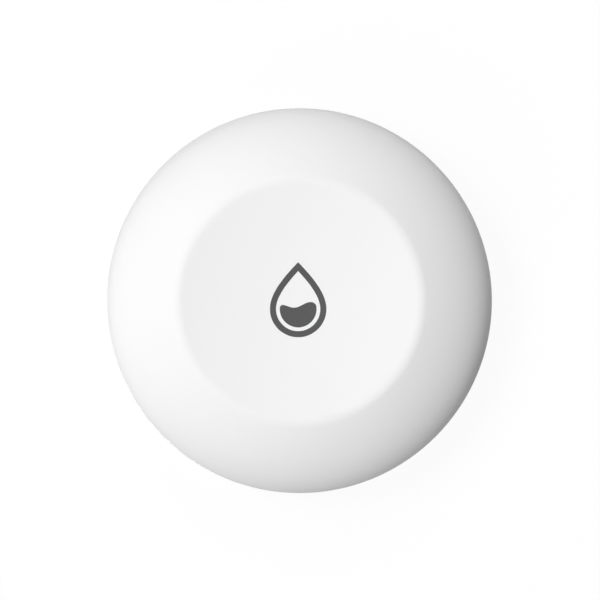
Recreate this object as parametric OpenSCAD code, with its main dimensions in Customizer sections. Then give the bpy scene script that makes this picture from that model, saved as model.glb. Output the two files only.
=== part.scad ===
// Round battery-powered water leak sensor: a white pebble-shaped housing with a shallow
// press dish on top, two probe screws underneath and a coin-turned battery cover.
// +Z is up, the feet stand on z = 0 and the housing's axis is the Z axis. Millimetres.

/* [Housing] */
// Overall diameter, at the widest line
body_d = 50; // [49:0.5:56]
// Overall height, from the floor to the crest round the dish
body_h = 15; // [14.5:0.1:18]
// Rise of the dome's curve above the widest line, were there no dish
dome_rise = 10.3; // [9.6:0.1:10.8]
// Exponent of the dome's curve: 2 is an ellipse, less is more pointed
dome_power = 1.5; // [1.4:0.05:1.8]
// Diameter of the flat underside
base_flat_d = 38; // [37:0.5:40]
// Wall of the dome
cover_wall = 1.6; // [1.2:0.1:2]
// Wall of the cover's skirt, measured at the widest line
skirt_wall = 1.8; // [1.6:0.1:2.2]
// Wall of the base
base_wall = 1.6; // [1.2:0.1:2]
// Chamfer round the openings in the underside
rim_chamfer = 0.2; // [0.1:0.05:0.3]

/* [Dish] */
// Diameter of the crease between dish and dome
dish_d = 31.7; // [29:0.1:33]
// Depth of the dish's centre below that crease
dish_depth = 1.2; // [0.6:0.1:1.6]
// Width of the rounded crest
crest_w = 1.4; // [0.8:0.1:1.6]
// Wall of the dish
dish_wall = 1.3; // [1:0.1:1.6]
// Width of the thin web that lets the dish flex
flex_w = 1.6; // [1.2:0.1:2]
// Wall of that web
flex_wall = 0.6; // [0.4:0.05:0.8]
// Gap at each edge of the web
flex_gap = 0.02; // [0.01:0.01:0.05]
// Diameter of the post that presses the switch
post_d = 4.4; // [3:0.1:6]
// Number of stiffening ribs under the dish
dish_rib_count = 6; // [3:1:8]
// Width of those ribs
dish_rib_w = 0.9; // [0.6:0.1:1.2]
// Depth of those ribs
dish_rib_h = 0.8; // [0.5:0.1:1]
// Gap between the ribs' outer ends and the dish's edge
dish_rib_inset = 1.5; // [1:0.1:3]

/* [Seam] */
// Distance of the seam below the widest line
seam_drop = 1.2; // [0.8:0.1:1.6]
// Open gap between cover and base at the seam
seam_gap = 0.25; // [0.15:0.05:0.35]
// Height of the base's spigot above its ledge
spigot_h = 3.2; // [2.8:0.1:3.6]
// Wall of the spigot
spigot_wall = 1.3; // [1:0.1:1.6]
// Clearance round the spigot, and above it
spigot_gap = 0.12; // [0.08:0.02:0.2]
// Chamfer at the spigot's upper edge
spigot_chamfer = 0.4; // [0.2:0.1:0.6]
// Cord diameter of the gasket in the seam
gasket_cord = 0.8; // [0.7:0.05:0.9]
// Clearance round the gasket
gasket_gap = 0.03; // [0.02:0.01:0.05]
// Number of snap lugs round the spigot
snap_count = 4; // [3:1:6]
// Arc of each snap lug, in degrees
snap_arc = 16; // [10:1:24]
// How far the snap lugs stand out
snap_reach = 0.35; // [0.2:0.05:0.5]
// Height of the snap lugs
snap_h = 0.9; // [0.6:0.1:1.1]
// Height of the lugs' lower edge above the base's ledge
snap_z = 1.6; // [1.4:0.1:1.8]
// Clearance round the snap lugs
snap_gap = 0.06; // [0.04:0.02:0.1]
// Spare angle at each end of a snap lug's pocket, in degrees
snap_play = 2; // [1:0.5:3]

/* [Feet] */
// Height of the moulded feet
foot_h = 0.8; // [0.6:0.1:1.2]
// Diameter of the feet
foot_d = 3.4; // [2.6:0.1:4]
// Distance of the feet from the flat underside's edge, to their centres
foot_inset = 2; // [1.8:0.1:3]
// Edge taper of the feet
foot_taper = 0.25; // [0.1:0.05:0.4]
// Number of feet
foot_count = 4; // [4:4:4]

/* [Battery bay] */
// Diameter of the coin cell
cell_d = 20; // [19:0.1:20.4]
// Thickness of the coin cell
cell_t = 3.2; // [2.5:0.1:3.4]
// Step from the cell's can to its cap
cell_step = 0.4; // [0.3:0.05:0.5]
// Inset of the cap from the can's side
cell_inset = 1.1; // [0.8:0.1:1.5]
// Rounding of the can's edges
cell_edge = 0.35; // [0.2:0.05:0.5]
// Clearance round the cell, and under it
cell_gap = 0.4; // [0.3:0.05:0.5]
// Wall of the well that holds the cell
well_wall = 1.2; // [0.8:0.1:1.4]
// Height of the cell that stands above the well
well_low = 0.8; // [0.5:0.1:1.5]
// Wall of the ring round the battery cover
bay_wall = 1.2; // [1:0.1:1.4]
// Material above the bayonet groove
bay_roof = 1.1; // [0.8:0.1:1.4]

/* [Battery cover] */
// Clearance round the cover's plate, and above it
plate_gap = 0.15; // [0.1:0.05:0.2]
// Width of the plate's edge outside the cell's well
plate_rim = 1.6; // [1.4:0.1:1.8]
// Lip under the lugs
lip_t = 0.8; // [0.6:0.1:1]
// Thickness of the bayonet lugs
lug_t = 0.7; // [0.5:0.1:0.9]
// How far the lugs stand out
lug_reach = 1; // [0.8:0.1:1.2]
// Arc of each lug, in degrees
lug_arc = 20; // [16:1:26]
// Number of lugs
lug_count = 3; // [2:1:3]
// Turn between locked and open, in degrees
lug_turn = 45; // [30:1:50]
// Clearance round the lugs
lug_gap = 0.1; // [0.06:0.02:0.14]
// Spare angle at each end of a lug's groove and slot, in degrees
lug_play = 2; // [1:0.5:3]
// Cord diameter of the cover's seal
seal_cord = 1; // [0.8:0.05:1.1]
// Clearance round the seal
seal_gap = 0.03; // [0.02:0.01:0.05]
// Flange that keeps the seal on its spigot
seal_flange = 0.4; // [0.3:0.05:0.6]
// Clearance of that flange in the well
flange_gap = 0.15; // [0.1:0.05:0.2]
// Width of the coin slot
slot_w = 1.8; // [1.4:0.1:2.2]
// Depth of the coin slot
slot_depth = 1.2; // [0.9:0.1:1.4]
// Diameter of the coin that the slot is cut for
coin_d = 28; // [24:1:32]
// Chamfer of the plate's outer edge
plate_chamfer = 0.25; // [0.1:0.05:0.4]

/* [Probes] */
// Distance of the probes from the circuit board's edge, to their centres
probe_inset = 3.8; // [3.6:0.1:4]
// Diameter of a probe's head
head_d = 4.6; // [4:0.1:5]
// Height of a probe's head
head_h = 1.4; // [1.2:0.1:1.6]
// How far the heads stand below the base
head_proud = 0.5; // [0.4:0.05:0.55]
// Rise of the heads' domed face
head_crown = 0.4; // [0.2:0.05:0.5]
// Clearance round a head
head_gap = 0.25; // [0.15:0.05:0.35]
// Diameter of a probe's shank
shank_d = 2.4; // [2:0.1:2.6]
// Clearance of the shank in the base
shank_gap = 0.15; // [0.1:0.05:0.2]
// Clearance of the shank in its threaded standoff
thread_gap = 0.03; // [0.02:0.01:0.05]
// Length of the shank inside the standoff
shank_grip = 3; // [2:0.1:3.6]
// Cord diameter of the probes' seals
probe_seal_cord = 0.8; // [0.6:0.05:0.9]
// Wall round a head's recess
probe_wall = 0.9; // [0.7:0.1:1]
// Base material above a probe's seal
probe_roof = 1.1; // [0.8:0.1:1.4]
// Width across the flats of the standoffs
standoff_af = 4.5; // [4:0.1:5]
// Length of the cross slots in the probes' heads
probe_drive_l = 3; // [2:0.1:3.4]
// Width of the slots in all screw heads
drive_w = 0.55; // [0.4:0.05:0.7]
// Depth of those slots
drive_depth = 0.5; // [0.3:0.05:0.6]

/* [Circuit board] */
// Thickness of the board
board_t = 0.8; // [0.6:0.1:1.2]
// Clearance round the board
board_gap = 0.6; // [0.4:0.1:1]
// Room between cell and board for the spring contact
contact_room = 0.9; // [0.7:0.1:1.2]
// Thickness of the contacts' sheet metal
contact_t = 0.2; // [0.15:0.05:0.25]
// Width of the contacts
contact_w = 4; // [3:0.1:5]
// Length of the contacts' tabs on the board
contact_tab = 3; // [2:0.1:4]
// Length of the clip that hangs from the board beside the cell
clip_l = 2.7; // [2.4:0.1:3]
// Bow of that clip
clip_bow = 0.5; // [0.3:0.05:0.6]
// Length of the spring leaf from its tab to the cell's cap
leaf_l = 3; // [2:0.1:5]
// Length of the leaf that bears on the cap
leaf_foot = 2; // [1:0.1:3]
// Clearance round the clip in the well
contact_gap = 0.5; // [0.3:0.1:0.8]
// Distance of the board's screws from its edge, to their centres
boss_inset = 3.2; // [3:0.1:3.6]
// Diameter of the board's bosses
boss_d = 4; // [3.6:0.1:4.4]
// Number of those bosses
boss_count = 3; // [3:3:3]
// Shank diameter of the board's screws
board_screw_d = 1.6; // [1.4:0.1:1.8]
// Length of those screws under the head
board_screw_l = 4.5; // [3.5:0.1:5]
// Head diameter of those screws
board_head_d = 3; // [2.6:0.1:3.4]
// Head height of those screws
board_head_h = 0.9; // [0.8:0.05:1.1]
// Length of the cross slots in those heads
board_drive_l = 2; // [1.5:0.1:2.4]
// Depth of the pilot holes below the screws' tips
pilot_room = 0.8; // [0.4:0.1:1.2]
// Clearance of those screws in the board
board_hole_gap = 0.2; // [0.1:0.05:0.3]

/* [Press switch] */
// Width of the switch
switch_w = 5.2; // [4.8:0.1:6]
// Height of the switch, without its plunger
switch_h = 1.3; // [1.2:0.1:1.5]
// Thickness of the switch's metal cover
switch_plate = 0.15; // [0.1:0.05:0.2]
// Floor of the switch
switch_floor = 0.25; // [0.2:0.05:0.3]
// Diameter of the pocket for dome and plunger
pocket_d = 3.7; // [3.4:0.1:4]
// Diameter of the plunger
plunger_d = 2; // [1.6:0.1:2.2]
// How far the plunger stands above the switch
plunger_h = 0.7; // [0.6:0.05:0.9]
// Thickness of the plunger's flange
plunger_flange = 0.25; // [0.2:0.05:0.3]
// Clearance round the plunger and its flange
plunger_gap = 0.05; // [0.04:0.01:0.08]
// Sheet thickness of the snap dome
snap_dome_t = 0.08; // [0.06:0.01:0.1]
// Gap between the dish's post and the plunger
post_gap = 0.05; // [0.02:0.01:0.1]

/* [Electronics] */
// Distance of the radio chip from the axis
chip_x = 8.6; // [7:0.1:10]
// Width of the radio chip
chip_w = 6; // [5:0.5:7]
// Height of the radio chip
chip_h = 0.85; // [0.7:0.05:1]
// Distance of the crystal from the chip, centre to centre
crystal_y = 5.5; // [5:0.1:6.5]
// Length of the crystal's can
crystal_l = 3.2; // [2.5:0.1:3.6]
// Width of the crystal's can
crystal_w = 2.5; // [2:0.1:2.8]
// Height of the crystal's can
crystal_h = 0.8; // [0.6:0.1:1]
// Distance of the status lamp from the axis
led_y = 5.2; // [4.5:0.1:9]
// Length of the status lamp
led_l = 2; // [1.6:0.1:2.4]
// Width of the status lamp
led_w = 1.25; // [1:0.05:1.5]
// Height of the status lamp
led_h = 0.8; // [0.6:0.1:1.2]
// Distance of the nearest small chip parts from the axis
passive_x = 5.2; // [4.6:0.1:7]
// Spacing of their columns
passive_column = 3.2; // [2.6:0.1:3.6]
// Spacing of their rows
passive_row = 2; // [1.4:0.1:2.6]
// Length of a small chip part
passive_l = 1.6; // [1:0.1:2]
// Width and height of a small chip part
passive_w = 0.8; // [0.5:0.1:1]
// Distance of the antenna's outer edge from the axis
antenna_y = 16; // [13:0.1:17]
// Width of the antenna's copper line
trace_w = 0.7; // [0.5:0.1:0.9]
// Thickness of the copper
trace_t = 0.07; // [0.035:0.005:0.1]
// Length of the antenna's folds
fold_l = 4; // [3:0.1:5]
// Pitch of the antenna's folds
fold_pitch = 1.6; // [1.4:0.1:2]
// Number of folds
fold_count = 8; // [4:2:8]

/* [Hidden] */
$fn = 96;
dome_steps = 36;
crest_steps = 14;
dish_steps = 18;
under_steps = 24;
overlap = 0.01;

// Outer form
body_r = body_d / 2;
crease_r = dish_d / 2;
base_flat_r = base_flat_d / 2;
base_z = foot_h;
foot_r = base_flat_r - foot_inset;
crease_share = sqrt(1 - pow(crease_r / body_r, dome_power));
dome_slope =
    dome_rise * dome_power / 2 * pow(crease_r / body_r, dome_power - 1) / body_r / crease_share;
dish_slope = 2 * dish_depth / crease_r;
crest_blend = (dome_slope + dish_slope) * crest_w / 2;
crest_loss = crest_blend * dome_slope * dish_slope / pow(dome_slope + dish_slope, 2);
crease_z = body_h + crest_loss;
widest_z = crease_z - dome_rise * crease_share;

function ellipse_side(share) = sqrt(max(0, 1 - share * share));
function dome_side(share) = sqrt(max(0, 1 - pow(share, dome_power)));
function dome_z(r) = widest_z + dome_rise * dome_side(r / body_r);
function dish_z(r) = crease_z - dish_depth * (1 - pow(r / crease_r, 2));
// The crest is the lower of dish and dome, rounded where they come close
function top_z(r) =
    let (near = max(0, 1 - abs(dome_z(r) - dish_z(r)) / crest_blend))
    min(dome_z(r), dish_z(r)) - crest_blend * near * near / 4;
// The underside's quarter ellipse, drawn in by a wall
function under_r(z, wall) =
    base_flat_r
    + (body_r - wall - base_flat_r) * ellipse_side((widest_z - z) / (widest_z - base_z - wall));
function under_z(r, wall) =
    widest_z
    - (widest_z - base_z - wall) * ellipse_side((r - base_flat_r) / (body_r - wall - base_flat_r));

// Seam
seam_z = widest_z - seam_drop;
ledge_z = seam_z - seam_gap;
skirt_r = body_r - skirt_wall;
spigot_r = skirt_r - spigot_gap;
spigot_in_r = spigot_r - spigot_wall;
spigot_top = ledge_z + spigot_h;
skirt_top = spigot_top + spigot_gap;
gasket_r = spigot_r + gasket_gap + gasket_cord / 2;
gasket_out_r = gasket_r + gasket_cord / 2 + gasket_gap;
gasket_z = seam_z - gasket_gap - gasket_cord / 2;
gasket_seat = gasket_z - gasket_cord / 2 - gasket_gap;

// Dome's inner face
inner_r = body_r - cover_wall;
inner_rise = dome_rise - cover_wall;
function inner_z(r) = widest_z + inner_rise * dome_side(r / inner_r);
skirt_step_r = inner_r * pow(1 - pow((skirt_top - widest_z) / inner_rise, 2), 1 / dome_power);

// Dish
flex_out_r = crease_r + flex_w / 2;
flex_in_r = crease_r - flex_w / 2;
cover_open_r = flex_out_r + flex_gap;
dish_edge_r = flex_in_r - flex_gap;

// Battery cover and bay, from the base up
floor_z = base_z + base_wall;
plate_t = lip_t + lug_gap + lug_t;
plate_z = base_z + plate_t;
well_r = cell_d / 2 + cell_gap;
plate_r = well_r + plate_rim;
opening_r = plate_r + plate_gap;
lug_r = plate_r + lug_reach;
lug_root_r = plate_r - lug_reach;
groove_r = lug_r + plate_gap;
groove_top = plate_z + lug_gap;
bay_r = groove_r + bay_wall;
bay_top = groove_top + bay_roof;
seal_groove_h = seal_cord + 2 * seal_gap;
seal_core_r = well_r - seal_cord - 2 * seal_gap;
seal_r = well_r - seal_gap - seal_cord / 2;
seal_z = plate_z + seal_groove_h / 2;
cover_top = plate_z + seal_groove_h + seal_flange;
cell_z = cover_top;
cell_top = cell_z + cell_t;
cell_r = cell_d / 2;
well_top = cell_top - well_low;

// Board
board_z = cell_top + contact_room;
board_top = board_z + board_t;
board_r = spigot_in_r - board_gap;
boss_r = board_r - boss_inset;
boss_turn = 90;
// The clip hangs halfway between two of the board's bosses
clip_turn = boss_turn - 180 / boss_count;

// Probes
probe_r = board_r - probe_inset;
head_z = base_z - head_proud;
head_top = head_z + head_h;
probe_seal_top = head_top + probe_seal_cord + gasket_gap;
probe_boss_top = probe_seal_top + probe_roof;
probe_seal_r = shank_d / 2 + gasket_gap + probe_seal_cord / 2;
head_recess_r = head_d / 2 + head_gap;
probe_boss_r = head_recess_r + probe_wall;

// Switch
switch_top = board_top + switch_h;
plate_under = switch_top - switch_plate;
flange_top = plate_under - plunger_gap;
flange_z = flange_top - plunger_flange;
flange_r = pocket_d / 2 - 2 * plunger_gap;
plunger_top = switch_top + plunger_h;
snap_dome_z = board_top + switch_floor;
snap_dome_rise = flange_z - plunger_gap - snap_dome_t - snap_dome_z;
post_z = plunger_top + post_gap;

// Copies round the axis
module around(count, turn = 0) {
    for (i = [0:count - 1]) rotate(turn + i * 360 / count) children();
}

// Left and right copies for the two probes
module at_probes() {
    for (side = [-1, 1]) translate([side * probe_r, 0, 0]) children();
}

// A ring's sector, centred on the X axis
module sector(r_in, r_out, z_low, z_high, arc) {
    rotate(-arc / 2)
        rotate_extrude(angle = arc)
            translate([r_in, z_low]) square([r_out - r_in, z_high - z_low]);
}

module ring_seal(r, z, cord) {
    translate([0, 0, z]) rotate_extrude() translate([r, 0]) circle(d = cord);
}

// A bent strip of sheet metal: its side view along a line of points, carried across its width
module strip(line, thick, width) {
    last = len(line) - 1;
    sides = [
        for (i = [0:last])
            let (
                along = line[min(i + 1, last)] - line[max(i - 1, 0)],
                out = [-along[1], along[0]] / norm(along) * thick / 2
            )
            [line[i] + out, line[i] - out]
    ];
    rotate([90, 0, 0])
        linear_extrude(width, center = true)
            polygon(concat([for (s = sides) s[0]], [for (i = [last:-1:0]) sides[i][1]]));
}

// Cross slots of a screw head, cut upwards from z = 0
module cross_drive(length) {
    for (turn = [0, 90])
        rotate(turn)
            translate([-length / 2, -drive_w / 2, -overlap])
                cube([length, drive_w, drive_depth + overlap]);
}

// Housing

module top_cover() {
    start = asin(cover_open_r / body_r);
    outside = [
        for (i = [0:dome_steps])
            let (r = body_r * sin(start + (90 - start) * i / dome_steps))
            [r, top_z(r)]
    ];
    tuck = [for (i = [1:4]) let (z = widest_z - seam_drop * i / 4) [under_r(z, 0), z]];
    inner_start = asin(cover_open_r / inner_r);
    inner_end = asin(skirt_step_r / inner_r);
    inside = [
        for (i = [dome_steps:-1:0])
            let (r = inner_r * sin(inner_start + (inner_end - inner_start) * i / dome_steps))
            [r, inner_z(r)]
    ];
    color("white")
    difference() {
        rotate_extrude()
            polygon(concat(outside, tuck, [[skirt_r, seam_z], [skirt_r, skirt_top]], inside));
        around(snap_count, 45)
            sector(
                skirt_r - spigot_gap, spigot_r + snap_reach + snap_gap,
                ledge_z + snap_z - snap_gap, ledge_z + snap_z + snap_h + snap_gap,
                snap_arc + 2 * snap_play
            );
    }
}

module flex_ring() {
    radii = [for (i = [0:crest_steps]) flex_in_r + flex_w * i / crest_steps];
    color("white")
    rotate_extrude()
        polygon(concat(
            [for (r = radii) [r, top_z(r)]],
            [for (i = [crest_steps:-1:0]) [radii[i], top_z(radii[i]) - flex_wall]]
        ));
}

module press_dish() {
    radii = [for (i = [0:dish_steps]) dish_edge_r * i / dish_steps];
    rib_in_r = post_d / 2 - dish_rib_h / 2;
    rib_out_r = dish_edge_r - dish_rib_inset;
    rib_radii = [for (i = [0:dish_steps]) rib_in_r + (rib_out_r - rib_in_r) * i / dish_steps];
    under = dish_z(0) - dish_wall;
    color("white")
    union() {
        rotate_extrude()
            polygon(concat(
                [for (r = radii) [r, top_z(r)]],
                [for (i = [dish_steps:-1:0]) [radii[i], dish_z(radii[i]) - dish_wall]]
            ));
        translate([0, 0, post_z]) cylinder(d = post_d, h = under - post_z + dish_wall / 2);
        intersection() {
            rotate_extrude()
                polygon(concat(
                    [for (r = rib_radii) [r, dish_z(r) - dish_wall / 2]],
                    [[rib_out_r, under - dish_rib_h], [rib_in_r, under - dish_rib_h]]
                ));
            around(dish_rib_count)
                translate([0, -dish_rib_w / 2, under - dish_rib_h])
                    cube([body_r, dish_rib_w, body_h]);
        }
    }
}

module base_bowl() {
    knee = under_z(spigot_in_r, base_wall);
    outside = [
        for (i = [0:under_steps])
            let (z = widest_z - (widest_z - base_z) * cos(90 * i / under_steps))
            if (z < ledge_z - overlap) [under_r(z, 0), z]
    ];
    inside = [
        for (i = [0:under_steps])
            let (z = knee + (floor_z - knee) * sin(90 * i / under_steps))
            [under_r(z, base_wall), z]
    ];
    rotate_extrude()
        polygon(concat(
            [[0, base_z]],
            outside,
            [
                [under_r(ledge_z, 0), ledge_z],
                [gasket_out_r, ledge_z],
                [gasket_out_r, gasket_seat],
                [spigot_r, gasket_seat],
                [spigot_r, spigot_top - spigot_chamfer],
                [spigot_r - spigot_chamfer, spigot_top],
                [spigot_in_r, spigot_top]
            ],
            inside,
            [[0, floor_z]]
        ));
}

module base_snaps() {
    around(snap_count, 45)
        rotate(-snap_arc / 2)
            rotate_extrude(angle = snap_arc)
                translate([spigot_r, ledge_z + snap_z])
                    polygon([
                        [-spigot_wall / 2, 0],
                        [snap_reach, 0],
                        [snap_reach, snap_h / 3],
                        [-snap_reach, snap_h],
                        [-spigot_wall / 2, snap_h]
                    ]);
}

module base_feet() {
    top = foot_h + base_wall / 2;
    around(foot_count, 45)
        translate([foot_r, 0, 0])
            rotate_extrude()
                polygon([
                    [0, 0],
                    [foot_d / 2 - foot_taper, 0],
                    [foot_d / 2, foot_taper],
                    [foot_d / 2, top],
                    [0, top]
                ]);
}

module base_bosses() {
    root_z = floor_z - base_wall / 2;
    translate([0, 0, root_z]) cylinder(r = bay_r, h = bay_top - root_z);
    translate([0, 0, root_z]) cylinder(r = well_r + well_wall, h = well_top - root_z);
    at_probes()
        translate([0, 0, root_z]) cylinder(r = probe_boss_r, h = probe_boss_top - root_z);
    around(boss_count, boss_turn)
        translate([boss_r, 0, root_z]) cylinder(d = boss_d, h = board_z - root_z);
}

// Opening and well for the battery cover and the cell, bayonet grooves, entry slots and clip notch
module bay_cuts() {
    roof = plate_z + plate_gap;
    rotate_extrude()
        polygon([
            [0, base_z - overlap],
            [opening_r + rim_chamfer + overlap, base_z - overlap],
            [opening_r, base_z + rim_chamfer],
            [opening_r, roof],
            [well_r, roof],
            [well_r, well_top + overlap],
            [0, well_top + overlap]
        ]);
    around(lug_count, boss_turn) {
        rotate(-(lug_turn + lug_play) / 2)
            sector(
                lug_root_r, groove_r, base_z + lip_t, groove_top,
                lug_turn + lug_arc + 3 * lug_play
            );
        rotate(-lug_turn)
            sector(
                lug_root_r, groove_r + lug_gap, base_z - overlap, plate_z - lug_t / 2,
                lug_arc + 2 * lug_play
            );
    }
    rotate(clip_turn)
        translate([0, -contact_w / 2 - contact_gap, board_z - clip_l - contact_gap])
            cube([bay_r, contact_w + 2 * contact_gap, clip_l]);
}

module probe_cuts() {
    seal_recess_r = probe_seal_r + probe_seal_cord / 2 + gasket_gap;
    shank_hole_r = shank_d / 2 + shank_gap;
    at_probes()
        rotate_extrude()
            polygon([
                [0, base_z - overlap],
                [head_recess_r + rim_chamfer + overlap, base_z - overlap],
                [head_recess_r, base_z + rim_chamfer],
                [head_recess_r, head_top],
                [seal_recess_r, head_top],
                [seal_recess_r, probe_seal_top],
                [shank_hole_r, probe_seal_top],
                [shank_hole_r, probe_boss_top + overlap],
                [0, probe_boss_top + overlap]
            ]);
}

module base_shell() {
    color("white")
    difference() {
        union() {
            base_bowl();
            base_snaps();
            base_feet();
            base_bosses();
        }
        bay_cuts();
        probe_cuts();
        around(boss_count, boss_turn)
            translate([boss_r, 0, board_top - board_screw_l - pilot_room])
                cylinder(d = board_screw_d + 2 * thread_gap, h = board_screw_l + pilot_room);
    }
}

module cover_gasket() {
    color("dimgray") ring_seal(gasket_r, gasket_z, gasket_cord);
}

// Battery cover and cell

module battery_cover() {
    color("white")
    difference() {
        union() {
            rotate_extrude()
                polygon([
                    [0, base_z],
                    [plate_r - plate_chamfer, base_z],
                    [plate_r, base_z + plate_chamfer],
                    [plate_r, plate_z],
                    [seal_core_r, plate_z],
                    [seal_core_r, plate_z + seal_groove_h],
                    [well_r - flange_gap, plate_z + seal_groove_h],
                    [well_r - flange_gap, cover_top],
                    [0, cover_top]
                ]);
            around(lug_count, boss_turn)
                sector(lug_root_r, lug_r, plate_z - lug_t, plate_z, lug_arc);
        }
        translate([0, slot_w / 2, base_z + slot_depth - coin_d / 2])
            rotate([90, 0, 0]) cylinder(d = coin_d, h = slot_w);
    }
}

module battery_cover_seal() {
    color("dimgray") ring_seal(seal_r, seal_z, seal_cord);
}

module coin_cell() {
    can_h = cell_t - cell_step;
    color("silver")
    translate([0, 0, cell_z])
        rotate_extrude()
            polygon([
                [0, 0],
                [cell_r - cell_edge, 0],
                [cell_r, cell_edge],
                [cell_r, can_h - cell_edge],
                [cell_r - cell_edge, can_h],
                [cell_r - cell_inset, can_h],
                [cell_r - cell_inset - cell_step / 2, cell_t],
                [0, cell_t]
            ]);
}

// A clip that hangs from the board and bears on the side of the cell's can
module cell_positive_contact() {
    side = cell_r + contact_t / 2;
    flat = board_z - contact_t / 2;
    end = board_z - clip_l;
    color("silver")
    rotate(clip_turn)
        strip([
            [side + 2 * clip_bow + contact_tab, flat],
            [side + 2 * clip_bow, flat],
            [side + clip_bow, flat - clip_bow / 2],
            [side, end + 2 * clip_bow],
            [side + clip_bow / 4, end + clip_bow],
            [side + clip_bow, end]
        ], contact_t, contact_w);
}

// A leaf under the board that presses on the cell's cap
module cell_negative_contact() {
    flat = board_z - contact_t / 2;
    low = cell_top + contact_t / 2;
    color("silver")
    strip([
        [leaf_foot / 2 + leaf_l + contact_tab, flat],
        [leaf_foot / 2 + leaf_l, flat],
        [leaf_foot / 2, low],
        [-leaf_foot / 2, low],
        [-leaf_foot, low + contact_t]
    ], contact_t, contact_w);
}

// Probes

module probe_screws() {
    color("silver")
    at_probes()
    translate([0, 0, head_z])
    difference() {
        union() {
            rotate_extrude()
                polygon(concat(
                    [
                        for (i = [0:crest_steps])
                            let (r = head_d / 2 * i / crest_steps)
                            [r, head_crown * pow(2 * r / head_d, 2)]
                    ],
                    [[head_d / 2, head_h], [0, head_h]]
                ));
            translate([0, 0, head_h - overlap])
                cylinder(d = shank_d, h = probe_boss_top + shank_grip - head_top + overlap);
        }
        cross_drive(probe_drive_l);
    }
}

module probe_seals() {
    color("dimgray")
    at_probes() ring_seal(probe_seal_r, head_top + probe_seal_cord / 2, probe_seal_cord);
}

module probe_standoffs() {
    color("goldenrod")
    at_probes()
    translate([0, 0, probe_boss_top])
    difference() {
        cylinder(d = standoff_af / cos(30), h = board_z - probe_boss_top, $fn = 6);
        translate([0, 0, -overlap])
            cylinder(d = shank_d + 2 * thread_gap, h = shank_grip + shank_gap + overlap);
    }
}

// Circuit board and its parts

module circuit_board() {
    color("seagreen")
    difference() {
        translate([0, 0, board_z]) cylinder(r = board_r, h = board_t);
        around(boss_count, boss_turn)
            translate([boss_r, 0, board_z - overlap])
                cylinder(d = board_screw_d + 2 * board_hole_gap, h = board_t + 2 * overlap);
    }
}

module board_screws() {
    color("silver")
    around(boss_count, boss_turn)
    translate([boss_r, 0, board_top])
    difference() {
        union() {
            cylinder(d = board_head_d, h = board_head_h);
            translate([0, 0, -board_screw_l]) cylinder(d = board_screw_d, h = board_screw_l + overlap);
        }
        translate([0, 0, board_head_h]) mirror([0, 0, 1]) cross_drive(board_drive_l);
    }
}

module radio_chip() {
    mark_d = chip_w / 8;
    color("dimgray")
    translate([-chip_x, 0, board_top])
    difference() {
        translate([-chip_w / 2, -chip_w / 2, 0]) cube([chip_w, chip_w, chip_h]);
        translate([-chip_w / 2 + mark_d, chip_w / 2 - mark_d, chip_h - trace_t])
            cylinder(d = mark_d, h = chip_h);
    }
}

module crystal() {
    lid = crystal_h / 4;
    color("lightgray")
    translate([-chip_x, crystal_y, board_top]) {
        translate([-crystal_l / 2, -crystal_w / 2, 0]) cube([crystal_l, crystal_w, crystal_h - lid]);
        translate([-crystal_l / 2 + lid, -crystal_w / 2 + lid, 0])
            cube([crystal_l - 2 * lid, crystal_w - 2 * lid, crystal_h]);
    }
}

module chip_passives() {
    color("tan")
    for (column = [0:2], row = [0:3])
        translate([passive_x + column * passive_column, (row - 1.5) * passive_row, board_top])
            translate([-passive_l / 2, -passive_w / 2, 0]) {
                cube([passive_l, passive_w, passive_w * 4 / 5]);
                for (end = [0, passive_l * 3 / 4])
                    translate([end, 0, 0]) cube([passive_l / 4, passive_w, passive_w]);
            }
}

module antenna_trace() {
    length = fold_count * fold_pitch;
    color("orange")
    translate([-length / 2, -antenna_y, board_top])
        linear_extrude(trace_t) {
            for (i = [0:fold_count]) translate([i * fold_pitch, 0]) square([trace_w, fold_l]);
            for (i = [0:fold_count - 1])
                translate([i * fold_pitch, i % 2 == 0 ? 0 : fold_l - trace_w])
                    square([fold_pitch + trace_w, trace_w]);
        }
}

module status_led() {
    color("lightyellow")
    translate([0, led_y, board_top]) {
        translate([-led_l / 2, -led_w / 2, 0]) cube([led_l, led_w, led_h / 2]);
        translate([-led_l / 4, -led_w / 2, 0]) cube([led_l / 2, led_w, led_h]);
    }
}

// Press switch

module switch_body() {
    color("darkslategray")
    difference() {
        translate([-switch_w / 2, -switch_w / 2, board_top])
            cube([switch_w, switch_w, switch_h - switch_plate]);
        translate([0, 0, board_top + switch_floor]) cylinder(d = pocket_d, h = switch_h);
    }
}

module switch_cover_plate() {
    color("silver")
    difference() {
        translate([-switch_w / 2, -switch_w / 2, plate_under])
            cube([switch_w, switch_w, switch_plate]);
        translate([0, 0, plate_under - overlap])
            cylinder(d = plunger_d + 2 * plunger_gap, h = switch_plate + 2 * overlap);
    }
}

module switch_snap_dome() {
    radii = [for (i = [0:crest_steps]) flange_r * i / crest_steps];
    color("silver")
    translate([0, 0, snap_dome_z])
        rotate_extrude()
            polygon(concat(
                [for (r = radii) [r, snap_dome_rise * (1 - pow(r / flange_r, 2))]],
                [
                    for (i = [crest_steps:-1:0])
                        [radii[i], snap_dome_rise * (1 - pow(radii[i] / flange_r, 2)) + snap_dome_t]
                ]
            ));
}

module switch_plunger() {
    color("black")
    union() {
        translate([0, 0, flange_z]) cylinder(r = flange_r, h = plunger_flange);
        translate([0, 0, flange_z]) cylinder(d = plunger_d, h = plunger_top - flange_z);
    }
}

top_cover();
flex_ring();
press_dish();
base_shell();
cover_gasket();
battery_cover();
battery_cover_seal();
coin_cell();
cell_positive_contact();
cell_negative_contact();
probe_screws();
probe_seals();
probe_standoffs();
circuit_board();
board_screws();
radio_chip();
crystal();
chip_passives();
antenna_trace();
status_led();
switch_body();
switch_cover_plate();
switch_snap_dome();
switch_plunger();
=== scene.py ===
import math

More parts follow.
